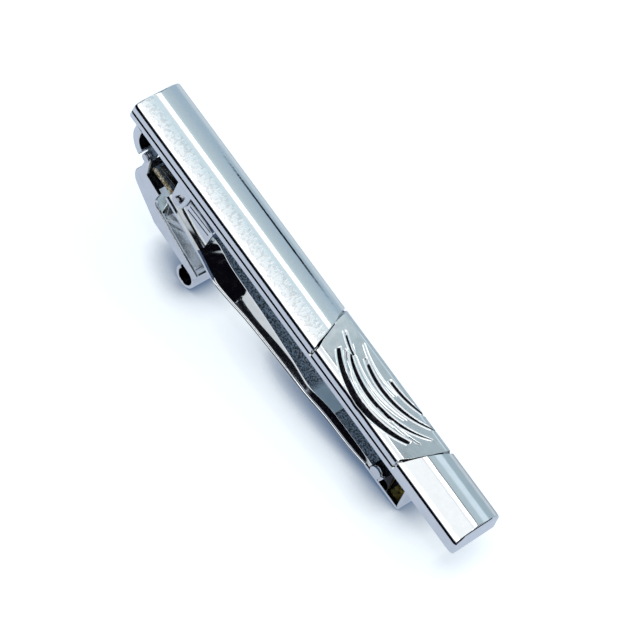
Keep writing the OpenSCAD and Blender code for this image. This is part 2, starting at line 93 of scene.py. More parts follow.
class Nodes:
    """A short way to lay out the nodes of a tree."""

    def __init__(self, tree):
        self.tree = tree

    def add(self, kind, inputs=None, **settings):
        """A new node, with each of the given inputs set to a value or linked to a socket."""
        node = self.tree.nodes.new(kind)
        for key, value in settings.items():
            setattr(node, key, value)
        for key, value in (inputs or {}).items():
            if isinstance(value, bpy.types.NodeSocket):
                self.tree.links.new(value, node.inputs[key])
            else:
                node.inputs[key].default_value = value
        return node

    def math(self, operation, *values):
        return self.add("ShaderNodeMath", dict(enumerate(values)), operation=operation).outputs[0]

    def spread(self, value, low, high, from_low=0.3, from_high=0.7):
        """Turns a value from from_low to from_high into one from low to high."""
        return self.add(
            "ShaderNodeMapRange",
            {"Value": value, "From Min": from_low, "From Max": from_high, "To Min": low, "To Max": high},
        ).outputs[0]

    def turned(self, place):
        """A place or a direction of the row, in the clip's own directions."""
        return self.add(
            "ShaderNodeVectorRotate", {"Vector": place, "Angle": -LIE}, rotation_type="Y_AXIS"
        ).outputs[0]

    def mix_shaders(self, share, first, second):
        return self.add("ShaderNodeMixShader", {0: share, 1: first, 2: second}).outputs[0]


class Metal(Nodes):
    """A metal's material, whose patterns lie along the bar."""

    def __init__(self, name, colour, metallic=1.0):
        self.material = bpy.data.materials.new(name)
        self.material.use_nodes = True
        self.material.diffuse_color = (*colour, 1)
        super().__init__(self.material.node_tree)
        self.shader = self.tree.nodes["Principled BSDF"]
        self.shader.inputs["Metallic"].default_value = metallic

    def link(self, out, socket):
        self.tree.links.new(out, self.shader.inputs[socket])

    def along_the_bar(self, scale=(1, 1, 1)):
        """Object coordinates turned into the clip's own directions, in millimetres times scale."""
        place = self.turned(self.add("ShaderNodeTexCoord").outputs["Object"])
        size = [s / MM for s in scale]
        return self.add("ShaderNodeVectorMath", {0: place, 1: size}, operation="MULTIPLY").outputs[0]

    def distance(self, axis):
        """The distance along one of the clip's own axes, in millimetres."""
        return self.add("ShaderNodeSeparateXYZ", {0: self.along_the_bar()}).outputs[axis]

    def noise(self, vector, scale, detail=3.0, rough=0.55):
        return self.add(
            "ShaderNodeTexNoise",
            {"Vector": vector, "Scale": scale, "Detail": detail, "Roughness": rough},
        ).outputs["Fac"]

    def shaded(self, share, first, second):
        """A colour that goes from the first to the second by share. The first may be a socket."""
        start = first if isinstance(first, bpy.types.NodeSocket) else (*first, 1)
        return self.add(
            "ShaderNodeMix", {"Factor": share, "A": start, "B": (*second, 1)}, data_type="RGBA"
        ).outputs["Result"]

    def bump(self, height, depth, normal=None):
        """A bumpy normal, with its depth in millimetres, laid over another normal if one is given."""
        node = self.add("ShaderNodeBump", {"Height": height, "Distance": depth * MM, "Strength": 1.0})
        if normal:
            self.tree.links.new(normal, node.inputs["Normal"])
        return node.outputs[0]


def polished(name, colour, rough=(0.03, 0.07), wave=0.0, grain=0.0, scale=(1, 1, 1), tint=None):
    """Plated metal: fine polishing marks, slow waves of the pressing and a slight change of shade."""
    n = Metal(name, colour)
    place = n.along_the_bar(scale)
    smears = n.noise(place, 1.3, 4)
    n.link(n.spread(smears, *rough), "Roughness")
    n.link(n.shaded(n.spread(smears, 0, 1), colour, tint or tuple(c * 0.94 for c in colour)), "Base Color")
    normal = None
    if wave:
        normal = n.bump(n.noise(place, 0.55, 1), wave)
    if grain:
        normal = n.bump(n.noise(place, 14.0, 2), grain, normal)
    if normal:
        n.link(normal, "Normal")
    return n.material


def satin(name, colour):
    """Satin front: polished along the crest, with a stippled grain on its near side."""
    n = Metal(name, colour)
    specks = n.noise(n.along_the_bar((1.9, 1.3, 1)), 1.6, 2, 0.6)
    n.link(n.spread(specks, 0.04, 0.07), "Roughness")
    near_side = n.spread(n.distance("Y"), 1, 0.06, -1.25, -0.95)
    grain = n.math("MULTIPLY", n.math("SUBTRACT", specks, 0.5), near_side)
    shade = n.shaded(n.spread(grain, 0, 1, -0.02, 0.1), colour, tuple(c * 0.82 for c in colour))
    n.link(shade, "Base Color")
    n.link(n.bump(grain, 0.03), "Normal")
    return n.material


def grained_tones(name, low, high, metallic=1.0, rough=0.42, scale=2.2, patch=None):
    """Grained metal between two tones, with a paler patch if asked for; also the painted shades and glint
    below.
    """
    n = Metal(name, high, metallic)
    grain = n.noise(n.along_the_bar((1.6, 1.6, 1)), scale, 3, 0.6)
    colour = n.shaded(n.spread(grain, 0, 1, 0.42, 0.6), low, high)
    if patch:
        start, end, pale = patch
        along = n.distance("X")
        first = n.spread(along, 0, 1, start - 0.5, start + 0.3)
        last = n.spread(along, 1, 0, end - 0.03, end + 0.03)
        colour = n.shaded(n.math("MULTIPLY", first, last), colour, pale)
    n.link(colour, "Base Color")
    n.shader.inputs["Roughness"].default_value = rough
    n.link(n.bump(grain, 0.03), "Normal")
    return n.material


def turned_x(x):
    """A place along the bar as a material's turned coordinates give it, which start at the row's middle."""
    return x - LIE_LEN / 2 * math.cos(LIE) - LIE_H * math.sin(LIE)


def make_materials(look):
    plate = tuple(look.plate_colour)
    return {
        # The bar's back: cast grain, its dark navy tone painted shade so that the jaw mirrors it dark
        "back": grained_tones("cast_back_painted_shade", (0.05, 0.075, 0.12), (0.25, 0.32, 0.42)),
        # Near black: painted shade on hollows, gaps and inner faces that lie in shade or mirror darkness
        "painted_shade": grained_tones("painted_black", (0.004, 0.004, 0.006), (0.02, 0.02, 0.025), rough=0.3),
        # The jaw's ridge: not metal but a painted navy reflection of the bar's dark back, paler from 36.2 to
        # 39.8 mm
        "ridge": grained_tones(
            "painted_ridge_reflection", (0.006, 0.012, 0.025), (0.3, 0.4, 0.52), metallic=0, rough=0.4, scale=3.2,
            patch=(turned_x(36.2), turned_x(39.8), (0.5, 0.66, 0.78)),
        ),
        # The pan's hollow: brass showing through the plating, darkened with painted shade
        "pan": grained_tones("brass_and_painted_shade", (0.03, 0.025, 0.008), (0.4, 0.28, 0.07), rough=0.35, scale=1.2),
        "satin": satin("satin_front", plate),
        "mirror": polished("mirror_polish", plate, (0.03, 0.06), wave=0.01),
        "panel": polished("panel_polish", tuple(c * 0.93 for c in plate), (0.05, 0.09), wave=0.006),
        "jaw": polished("jaw_plating", plate, (0.06, 0.14), wave=0.05, grain=0.001),
        "pressed": polished("pressed_plating", plate, (0.08, 0.16), wave=0.02, grain=0.0008),
        # Worn plating showing brass, made pale and only a little metallic as a painted highlight
        "worn_and_glint": grained_tones("worn_brass_and_glint", (0.3, 0.2, 0.08), (1.0, 0.94, 0.72), metallic=0.3, rough=0.2, scale=2.4),
        # Dull navy, not metal: painted shade on inner faces that lie in the bar's shadow
        "inside": grained_tones("painted_shade_inside", (0.06, 0.09, 0.14), (0.28, 0.38, 0.48), metallic=0, rough=0.35),
        "pin": polished("turned_steel", (0.72, 0.73, 0.75), (0.12, 0.2), scale=(3, 3, 3)),
        # The spring: steel darkened to slate as painted shade, in the dark gap behind the bar
        "spring": polished("spring_steel_painted_shade", (0.3, 0.29, 0.25), (0.16, 0.3), wave=0.03, tint=(0.08, 0.1, 0.12)),
    }


# Shaping and placing of pieces


def piece(bm, name, body, node, materials, angle=35, placed=False):
    """Makes a bmesh an object that rides on a body and stands for a CAD node, if one is given. Edges
    sharper than angle stay sharp. A bmesh that isn't placed is in the clip's own frame."""
    if not placed:
        bm.transform(TO_ROW)
    mesh = bpy.data.meshes.new(name)
    bm.to_mesh(mesh)
    bm.free()
    for face in mesh.polygons:
        face.use_smooth = True
    mesh.set_sharp_from_angle(angle=math.radians(angle))
    obj = bpy.data.objects.new(name, mesh)
    bpy.context.scene.collection.objects.link(obj)
    for material in materials:
        mesh.materials.append(material)
    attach(obj, body)
    if node:
        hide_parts(node)


def sharp_edges(bm, angle=28):
    return [e for e in bm.edges if math.degrees(e.calc_face_angle(0)) > angle]


def rounded(bm, edges, radius, segments=2, clamp=False):
    """Rounds edges of a bmesh."""
    bmesh.ops.bevel(
        bm, geom=edges, offset=radius, offset_type="OFFSET", segments=segments, profile=0.5,
        affect="EDGES", clamp_overlap=clamp, material=-1,
    )


def extruded(bm, face, way):
    """Draws a face out into a closed solid."""
    made = bmesh.ops.extrude_face_region(bm, geom=[face])
    moved = [g for g in made["geom"] if isinstance(g, bmesh.types.BMVert)]
    bmesh.ops.translate(bm, verts=moved, vec=way)


def softened(node, name, body, material, radius, segments=2, dark=None, part=None, stands=True):
    """A copy of a CAD node with its sheared edges rounded, as a press and a polishing drum leave them.
    The faces that pass the test in dark get its material. With a test in part, the copy is cut at
    TAIL_LEG_X and keeps the faces that pass it."""
    bm = bmesh.new()
    bm.from_mesh(NODES[node].data)
    bmesh.ops.remove_doubles(bm, verts=bm.verts, dist=1e-7)
    bmesh.ops.dissolve_limit(
        bm, angle_limit=math.radians(0.5), verts=bm.verts, edges=bm.edges, delimit=set()
    )
    rounded(bm, sharp_edges(bm), radius * MM, segments)
    back = TO_ROW.inverted()
    if part:
        bmesh.ops.bisect_plane(
            bm, geom=[*bm.verts, *bm.edges, *bm.faces], plane_co=TO_ROW @ Vector((TAIL_LEG_X, 0, 0)),
            plane_no=(TO_ROW.to_3x3() @ Vector((1, 0, 0))).normalized(),
        )
        rest = [f for f in bm.faces if not part(back @ f.calc_center_median())]
        bmesh.ops.delete(bm, geom=rest, context="FACES")
        bmesh.ops.holes_fill(bm, edges=[e for e in bm.edges if e.is_boundary], sides=0)
    for face in bm.faces:
        c, n = back @ face.calc_center_median(), back.to_3x3() @ face.normal
        face.material_index = 1 if dark and dark[0](c, n) else 0
    finish = [material, dark[1]] if dark else [material]
    piece(bm, name, body, node if stands else None, finish, placed=True)


def pressed(outline, y_in, y_out, bevel, segments=2):
    """A flat piece of sheet: an outline in X and depth, from y_in to y_out, with its edges rounded."""
    bm = bmesh.new()
    face = bm.faces.new([bm.verts.new((x, y_in, -depth)) for x, depth in outline])
    extruded(bm, face, (0, y_out - y_in, 0))
    bmesh.ops.recalc_face_normals(bm, faces=bm.faces)
    rounded(bm, sharp_edges(bm), bevel, segments, clamp=True)
    return bm


def box_outline(x0, x1, top, bottom):
    return [(x0, top), (x1, top), (x1, bottom), (x0, bottom)]


def circle_outline(x, depth, radius, start=0, end=360, steps=24):
    """Points of a circle, or of an arc with both its ends, in X and depth."""
    count = steps + 1 if end - start < 360 else steps
    turns = [math.radians(start + (end - start) * i / steps) for i in range(count)]
    return [(x + radius * math.cos(a), depth + radius * math.sin(a)) for a in turns]


def sided(side, near, far):
    """Both ends in Y, lowest first, of what lies from near to far on one side of the middle."""
    return sorted((side * near, side * far))


def painted(part, index, test=lambda normal: True):
    """Gives a finish to those faces of a part whose normal passes the test."""
    for face in part.faces:
        if test(face.normal):
            face.material_index = index
    return part


def joined(parts):
    """One bmesh of several closed ones."""
    whole = bmesh.new()
    for part in parts:
        mesh = bpy.data.meshes.new("part")
        part.to_mesh(mesh)
        part.free()
        whole.from_mesh(mesh)
        bpy.data.meshes.remove(mesh)
    return whole


def ease(t):
    """A smooth step from 0 to 1."""
    t = min(max(t, 0.0), 1.0)
    return t * t * (3 - 2 * t)


# The front bar

# The panel's depth below the crest, and how gently it runs into the dome
PANEL_DROP, PANEL_SOFT = 0.47, 0.1
# The groove along each border: its depth, half width, cut into the bar's side, and half width painted black
# as shade
GROOVE_DEPTH, GROOVE_HALF, GROOVE_NOTCH, GROOVE_SHADE = 0.45, 0.2, 0.25, 0.075
# An arc's steep outer wall, its run-out at the ends, and its inner radius as a share of the outer one
ARC_WALL, ARC_END, ARC_INNER = 0.12, 0.3, 1.12
# The low bead beside an arc
BEAD_H, BEAD_W = 0.03, 0.2
# The rounding of the front's edge, its drop, and the rounding of the back's edge
EDGE_R, EDGE_DROP, BACK_R = 0.22, 0.31, 0.18
# The rows of the front's grid across the bar, and the stretch beside a border where its columns lie close
ROWS, BESIDE = 190, 0.4

# The engraved arcs: radius, lowest point beside the panel's middle and over the edge, width, reach to the
# left and to the right, turn, depth, and the share of the left reach where the painted black shade begins
ARCS = [
    (10.9, 0, 0.3, 0.85, 6.5, 6.6, 0, 0.45, -1), (10.3, -0.1, 1.95, 0.55, 5.9, 8.3, 0, 0.32, -0.85),
    (10.3, 0, 3.75, 0.5, 4.0, 7.3, 0, 0.28, -0.8), (10.3, 0.2, 5.3, 0.42, 0.7, 5.0, 0, 0.22, -0.6),
    (10.1, 0.3, 1.0, 0.44, 1.5, 3.64, -30, 0.2, 4), (10.6, 0, 1.3, 0.26, 4.8, 4.2, 0, 0.06, 2),
    (10.6, -0.6, 2.9, 0.26, 5.5, 5.0, 0, 0.06, 2), (10.6, -0.9, 4.6, 0.26, 4.6, 2.4, 0, 0.06, 2),
    (9.6, -3.2, 3.4, 0.3, 0.8, 2.4, -24, 0.12, -0.2), (11.2, 1.8, 2.3, 0.2, 1.5, 4.6, 6, 0.04, 2),
]


def columns():
    """Places along the bar's middle line, close together where the shape turns."""

    def evenly(start, length, steps):
        return [start + length * i / steps for i in range(1, steps + 1)]

    quarter = [a * math.pi / 20 for a in range(11)]
    at = [CORNER_R * (1 - math.cos(a)) for a in quarter]
    at += evenly(CORNER_R, PANEL_START - BESIDE - CORNER_R, 24)
    at += evenly(PANEL_START - BESIDE, 2 * BESIDE, 24)
    at += evenly(PANEL_START + BESIDE, PANEL_LEN - 2 * BESIDE, 320)
    at += evenly(PANEL_END - BESIDE, 2 * BESIDE, 24)
    at += evenly(PANEL_END + BESIDE, BAR_LEN - CORNER_R - PANEL_END - BESIDE, 10)
    at += [BAR_LEN - CORNER_R + CORNER_R * math.sin(a) for a in quarter[1:]]
    return at


def slant(x):
    """How far a column at x leans, per unit of the bar's half width."""
    if x < PANEL_START:
        return -BORDER_SLANT * x / PANEL_START
    if x > PANEL_END:
        return BORDER_SLANT * (BAR_LEN - x) / (BAR_LEN - PANEL_END)
    return -BORDER_SLANT + 2 * BORDER_SLANT * (x - PANEL_START) / PANEL_LEN


def dome(y):
    """Height of the plain front over the bar's back."""
    return CREST - DOME_R + math.sqrt(max(DOME_R**2 - y * y, 0))


def arcs_at(x, y):
    """The arcs near a point: how far the point lies inside either edge and inside the nearer end, the arc's
    depth, and whether it is painted black there as shade."""
    for radius, aside, low, width, left, right, turn, most, dark_from in ARCS:
        a = math.radians(-turn)
        dx, dy = x - PANEL_X - aside, y - (radius + low - BAR_W / 2)
        u, v = dx * math.cos(a) - dy * math.sin(a), dx * math.sin(a) + dy * math.cos(a)
        inner = radius * ARC_INNER
        from_outer = radius - math.hypot(u, v)
        from_inner = math.hypot(u, v - (inner + width - radius)) - inner
        if v > 0 or min(from_outer, from_inner) < -BEAD_W:
            continue
        ahead = u + left if u < 0 else right - u
        if ahead > -0.1:
            yield from_outer, from_inner, ahead, most, u >= dark_from * left


def engraving(x, y):
    """Depth of the engraved arcs at a point of the panel, below 0 on the low beads along their edges."""
    deepest = 0.0
    for from_outer, from_inner, ahead, most, _ in arcs_at(x, y):
        wide = from_outer + from_inner
        end = ease(ahead / ARC_END) * min(1.0, max(wide, 0.0) / ARC_END)
        over = -min(from_outer, from_inner)
        if over > 0:
            bead = BEAD_H * min(1, most * 5) * end * math.sin(math.pi * min(over / BEAD_W, 1))
            deepest = min(deepest, -bead)
            continue
        wall = min(ARC_WALL, wide / 3)
        depth = ease(from_outer / wall) if from_outer < wall else (from_inner / (wide - wall)) ** 2
        deepest = max(deepest, most * end * depth)
    return deepest


def painted_black(x, y):
    """Whether a point of a deep arc or of a border groove is painted black, as painted shade."""
    for from_outer, from_inner, ahead, _, dark in arcs_at(x, y):
        wide = from_outer + from_inner
        if dark and ahead > 0.12 and min(from_outer, from_inner) > 0.14 * wide:
            return True
    x0 = x - slant(x) * y / (BAR_W / 2)
    near = min(abs(x0 - PANEL_START), abs(x0 - PANEL_END))
    return near < GROOVE_SHADE and (y < 0.7 if x < PANEL_X else -2.9 < y < 2.2)


def front_height(x, y, lean):
    """Height of the bar's front over its back at a point of a column that leans aside there."""
    z = dome(y)
    if PANEL_START < x - lean < PANEL_END:
        over = z - (CREST - PANEL_DROP)
        if over > PANEL_SOFT:
            z = CREST - PANEL_DROP
        elif over >= -PANEL_SOFT:
            z -= (over + PANEL_SOFT) ** 2 / (4 * PANEL_SOFT)
        z -= engraving(x, y)
    near = min(abs(x - lean - PANEL_START), abs(x - lean - PANEL_END))
    if near < GROOVE_HALF:
        z = min(z, dome(y) - GROOVE_DEPTH * (1 - near / GROOVE_HALF))
    return min(z, CREST - END_BEVEL + min(x, BAR_LEN - x))


def outward_way(x, y):
    """The way out of the bar at a point on the edge of its front."""
    cx = min(max(x, CORNER_R), BAR_LEN - CORNER_R)
    cy = min(max(y, CORNER_R - BAR_W / 2), BAR_W / 2 - CORNER_R)
    out = Vector((x - cx, y - cy, 0))
    if out.length < 1e-6 and abs(y) > 1:
        out = Vector((0, math.copysign(1, y), 0))
    elif out.length < 1e-6:
        out = Vector((math.copysign(1, x - BAR_LEN / 2), 0, 0))
    return out.normalized()


def front_skin(bm):
    """Lays a grid as the bar's front. Gives each vertex's distance from a border and its side step."""
    at = columns()
    last = len(at) - 1
    bmesh.ops.create_grid(bm, x_segments=last, y_segments=ROWS, size=1.0)
    sides = {}
    for vert in bm.verts:
        x0 = at[round((vert.co.x + 1) / 2 * last)]
        end = min(x0, BAR_LEN - x0)
        half = BAR_W / 2 - EDGE_R
        if end < CORNER_R:
            half -= CORNER_R - math.sqrt(CORNER_R**2 - (CORNER_R - end) ** 2)
        step = STEP_IN if x0 < PANEL_END else 0.0
        y = vert.co.y * half * ((half - step) / half)
        lean = slant(x0) * (y / (BAR_W / 2))
        x = min(max(x0 + lean, EDGE_R), BAR_LEN - EDGE_R)
        vert.co = (x, y, front_height(x0 + lean, y, lean))
        sides[vert] = (min(abs(x0 - PANEL_START), abs(x0 - PANEL_END)), step)
    return sides


def front_bar(materials):
    """The domed bar with its panel, its side steps and its rounded edges, as one skin."""
    finishes = ("satin", "panel", "mirror", "back", "painted_shade")
    satin_side, panel, mirror, back, painted_shade = range(5)
    bm = bmesh.new()
    sides = front_skin(bm)
    for face in bm.faces:
        c = face.calc_center_median()
        x0 = c.x - slant(c.x) * c.y / (BAR_W / 2)
        if PANEL_START - GROOVE_HALF < x0 < PANEL_END + GROOVE_HALF:
            # Deep arcs and border grooves get the near-black painted shade
            face.material_index = painted_shade if painted_black(c.x, c.y) else panel
        else:
            face.material_index = satin_side if x0 < PANEL_START else mirror
    edges = [e for e in bm.edges if e.is_boundary]
    verts = {v for e in edges for v in e.verts}
    base = {v: (outward_way(v.co.x, v.co.y), v.co.copy(), *sides[v]) for v in verts}
    quarter = [i / 4 * math.pi / 2 for i in range(1, 5)]
    # Rings under the front's edge: how far out, share of the side step, a drop from the edge or not, height
    rings = [(0.02, 0, True, 0.012), (EDGE_R - 0.02, 0, True, EDGE_DROP - 0.04)]
    rings += [(EDGE_R, 0, True, EDGE_DROP), (EDGE_R, 0, True, EDGE_DROP + 0.02)]
    rings += [(EDGE_R, t, False, STEP_H + 0.04 - 0.17 * t) for t in (-0.1, 0, 0.08, 0.92, 1)]
    rings += [(EDGE_R, 1, False, STEP_H - 0.15), (EDGE_R, 1, False, 0.22)]
    rings += [(EDGE_R - BACK_R * (1 - math.cos(a)), 1, False, BACK_R * (1 - math.sin(a))) for a in quarter]
    current = {v: v for v in verts}
    for outward, wide, drops, height in rings:
        made = bmesh.ops.extrude_edge_only(bm, edges=edges)["geom"]
        for face in (g for g in made if isinstance(g, bmesh.types.BMFace)):
            face.material_index = mirror
        follow = {}
        for vert in (g for g in made if isinstance(g, bmesh.types.BMVert)):
            old = next(o for e in vert.link_edges for o in e.verts if o is not vert and o in current)
            follow[vert] = current[old]
        for vert, root in follow.items():
            out, start, near, step = base[root]
            reach = outward + step * max(wide, 0)
            if abs(out.y) > 0.5 and near < GROOVE_HALF and wide < 1:
                reach -= GROOVE_NOTCH * (1 - near / GROOVE_HALF)
            z = start.z - height if drops else height
            if start.x > BAR_LEN / 2:
                reach_x = out.x * (reach + END_SLOPE * (1 - z / (CREST - END_BEVEL)))
            else:
                reach_x = out.x * outward
            vert.co = (start.x + reach_x, start.y + out.y * reach, z)
        current = follow
        edges = [g for g in made if isinstance(g, bmesh.types.BMEdge) and g.is_boundary]
    for face in bmesh.ops.contextual_create(bm, geom=edges)["faces"]:
        face.material_index = back
    bmesh.ops.recalc_face_normals(bm, faces=bm.faces)
    piece(
        bm, "front_bar", "bar_body", "bar", [materials[m] for m in finishes], angle=50
    )


# The heel and the studs

# The heel's hook: the middle, radius and thickness of its ring, and how far it is sunk into the bar
HOOK_X, HOOK_DEPTH, HOOK_R, HOOK_T, HOOK_SUNK = 4.5, 0.4, 2.95, 1.1, 0.3
# A stud's head: its radius at the bracket and at its top, and its height
STUD_R, STUD_TOP_R, STUD_H = 0.8, 0.72, 0.25


def heel_and_studs(materials):
    """The hooked heel and the riveting studs on the bar's back."""

    def hook_arc(radius, turns):
        return [(HOOK_X - radius * math.cos(a), HOOK_DEPTH + radius * math.sin(a)) for a in turns]

    cut = BRACKET_X - 0.03
    bore_r = HOOK_R - HOOK_T
    start = math.asin(HOOK_DEPTH / HOOK_R)
    stop = math.acos((HOOK_X - cut) / HOOK_R)
    bore_stop = math.acos((HOOK_X - cut) / bore_r)
    outline = hook_arc(HOOK_R, [start + (stop - start) * i / 20 for i in range(21)])
    outline += hook_arc(bore_r, [bore_stop * (1 - i / 14) for i in range(15)])
    outline += [(HOOK_X - bore_r, -HOOK_SUNK), (HOOK_X - HOOK_R * math.cos(start), -HOOK_SUNK)]
    heel = pressed(outline, -BAR_W / 2, BAR_W / 2, 0.07, 3)
    for face in heel.faces:
        c = face.calc_center_median()
        # The faces of the hook's bore get the near-black painted shade
        if math.hypot(c.x - HOOK_X, c.z + HOOK_DEPTH) < bore_r + 0.2 and abs(face.normal.y) < 0.7:
            face.material_index = 1
    studs = []
    for x in (BRACKET_X + 0.8, JAW_PIN[0] + 1.4):
        stud = bmesh.new()
        bmesh.ops.create_cone(
            stud, cap_ends=True, segments=32, radius1=STUD_R, radius2=STUD_TOP_R, depth=STUD_H,
            matrix=Matrix.Translation((x, 0, -SHEET - STUD_H / 2)) @ Matrix.Rotation(math.pi, 4, "X"),
        )
        rounded(stud, sharp_edges(stud, 40), 0.06)
        studs.append(stud)
    piece(
        joined([heel, *studs]), "heel_and_studs", "bar_body", "bar",
        [materials["mirror"], materials["painted_shade"]],
    )


# The jaw

JAW_W, JAW_TIP_W, LIP_W, LIP_DROP, PAN_LEN = 5.2, 3.9, 0.35, 0.26, 6.0
# Across the face, the grid's shares where the ridge ends and where the lip begins
RIDGE_V, LIP_V = 0.3, 0.86
LIPS_X, PAN_X = JAW_PIN[0] - 1.3, TIP_X - PAN_LEN
FACE_LEN = PAN_X + 0.3 - LIPS_X
# The places where the ridge's painted navy reflection begins and where the lips begin to roll down
RIDGE_PAINT_X, LIP_ROLLS_X = LIPS_X + 6.8, 18.85
# A facet's rise against its width, the softness of the crease under it, and the depth of the dents
FACET_RISE, CREASE, DENT_DEPTH = 0.84, 0.04, 0.16
# The gap of the shut clip between the jaw's end wall and the bar, and that wall's lean
TIP_GAP, WALL_LEAN = 0.12, 0.8
# Besides the plating: the ridge's painted reflection, painted shade on brass, black shade, painted glint and
# navy shade
JAW_FINISHES = ("jaw", "ridge", "pan", "painted_shade", "worn_and_glint", "inside")
RIDGE_REFLECTION, BRASS_AND_SHADE, GROUND, WORN_AND_GLINT, INSIDE_SHADE = range(1, 6)


def rise(k, column):
    """How steeply a column of the stations rises at station k."""
    a, b = STATIONS[max(k - 1, 0)], STATIONS[min(k + 1, len(STATIONS) - 1)]
    return (b[column] - a[column]) / (b[0] - a[0])


def station(s, column):
    """A station's value at share s, eased between stations."""
    i = max(k for k in range(len(STATIONS) - 1) if s >= STATIONS[k][0])
    a, b = STATIONS[i], STATIONS[i + 1]
    run = b[0] - a[0]
    t = (s - a[0]) / run
    return (
        a[column] * (2 * t**3 - 3 * t**2 + 1) + b[column] * (3 * t**2 - 2 * t**3)
        + run * rise(i, column) * (t**3 - 2 * t**2 + t) + run * rise(i + 1, column) * (t**3 - t**2)
    )


def facet(x, width, fold):
    """Share of the jaw's slope, from the ridge down, that is a flatter facet over a steep foot. The steeper
    the slope, the smaller it is, and it fades out at both ends."""
    share = min(max((2.05 - fold / width) / 1.21, 0), 0.88)
    return share * ease((x - 22.7) / 0.35) * ease((37.5 - x) / 2.5)


def dents(x, t):
    """Shallow hammered swells on the slope beside the cheeks, from 0 to 1."""
    swell = 0.5 + 0.5 * math.sin(2 * math.pi * (x / 1.25 + 0.7 * t))
    return swell * math.sin(math.pi * t) * ease((x - 15.9) / 0.3) * ease((19.0 - x) / 0.7)


def jaw_face(s, v):
    """A point of the jaw's face towards the bar: share s along it, v from -1 to 1 across it."""
    x = LIPS_X + s * FACE_LEN
    rim = JAW_W / 2 + (JAW_TIP_W - JAW_W) / 2 * station(s, 4)
    ridge = JAW_TIP_W / 2 * station(s, 3)
    depth = PLATE + 0.02 + JAW_BOW * station(s, 1)
    fold = FOLD * station(s, 2)
    inner = rim - LIP_W * (1 - 0.45 * ease((s - 0.5) / 0.25))
    w = abs(v)
    if w < RIDGE_V:
        y, d = ridge * w / RIDGE_V, 0.0
    elif w < LIP_V:
        t = (w - RIDGE_V) / (LIP_V - RIDGE_V)
        y = ridge + (inner - ridge) * t
        turn = facet(x, inner - ridge, fold)
        high = min(FACET_RISE * turn * (inner - ridge), fold)
        d = high * t / turn if t < turn else high + (fold - high) * (t - turn) / (1 - turn)
        d = math.hypot(d, CREASE) - CREASE
        d -= DENT_DEPTH * dents(x, t)
    else:
        t = (w - LIP_V) / (1 - LIP_V)
        y = inner + (rim - inner) * t
        d = fold + LIP_DROP * ease((x - LIP_ROLLS_X) / 1.3) * (t + 0.13 * math.sin(2 * math.pi * t))
    return Vector((x, math.copysign(y, v), -(depth + d)))


def slope_depth(x, y):
    """Depth of the jaw's slope about the place x, at the distance y from the middle."""
    s = (x - LIPS_X) / (PAN_X - LIPS_X)
    low, high = RIDGE_V, LIP_V
    for _ in range(24):
        v = (low + high) / 2
        low, high = (v, high) if jaw_face(s, v).y < y else (low, v)
    return -jaw_face(s, low).z


def drawn_sheet():
    """The jaw's drawn sheet from the plate to the pan, with a painted navy reflection along its ridge."""
    bm = bmesh.new()
    bmesh.ops.create_grid(bm, x_segments=300, y_segments=96, size=1.0)
    for vert in bm.verts:
        vert.co = jaw_face(min((vert.co.x + 1) / 2, 0.9999), vert.co.y)
    bmesh.ops.recalc_face_normals(bm, faces=bm.faces)
    if sum(f.normal.z for f in bm.faces) < 0:
        bmesh.ops.reverse_faces(bm, faces=bm.faces)
    for face in bm.faces:
        c = face.calc_center_median()
        s = min(max((c.x - LIPS_X) / FACE_LEN, 0), 0.999)
        if c.x > RIDGE_PAINT_X and abs(c.y) < JAW_TIP_W / 2 * station(s, 3):
            face.material_index = RIDGE_REFLECTION
    bmesh.ops.solidify(bm, geom=bm.faces, thickness=SHEET * 0.92)
    return bm


def tail():
    """The jaw's flat tail under the lever's tongue, with a low bead along either edge. The plate is painted
    black as shade, navy as shade towards the bar, and its near edge and beads worn brass with a painted
    glint.
    """
    x = JAW_PIN[0]
    plate = pressed(box_outline(x - 5.0, LIPS_X + 0.4, PLATE, PLATE + SHEET), -1.95, 1.95, 0.06)
    painted(plate, GROUND)
    painted(plate, WORN_AND_GLINT, lambda normal: normal.y < -0.5)
    parts = [painted(plate, INSIDE_SHADE, lambda normal: normal.z > 0.5)]
    for side in (-1, 1):
        bead = box_outline(x - 4.8, x - 1.2, PLATE - 0.28, PLATE + 0.34)
        parts.append(painted(pressed(bead, *sided(side, 1.7, 1.99), 0.1, 3), WORN_AND_GLINT))
    return parts


def cheek(side):
    """One of the two cheeks that turn on the jaw's pin, with two fine ribs on its outside, painted black as
    shade.
    """
    x, d = JAW_PIN
    outline = circle_outline(x, d, 0.8, 180, 270, 10)
    outline += [
        (x + 0.55, 2.68), (x + 1.0, 2.5), (x + 3.8, 2.5), (x + 5.1, 2.66), (x + 5.45, 2.8), (x + 5.6, 3.1)
    ]
    for i in range(8, 0, -1):
        foot = x + 0.8 + 4.8 * i / 8
        outline.append((foot, slope_depth(foot, 1.95) + 0.1))
    outline += [(x + 0.8, PLATE + SHEET * 0.85), (x - 0.8, PLATE + SHEET * 0.85)]
    parts = [pressed(outline, *sided(side, 1.55, 1.95), 0.06)]
    for top, end in ((3.15, 3.0), (3.95, 3.75)):
        rib = [(x + 1.4, top), (x + 5.2, end), (x + 5.2, end + 0.14), (x + 1.4, top + 0.16)]
        parts.append(painted(pressed(rib, *sided(side, 1.9, 1.98), 0.02), GROUND))
    return parts


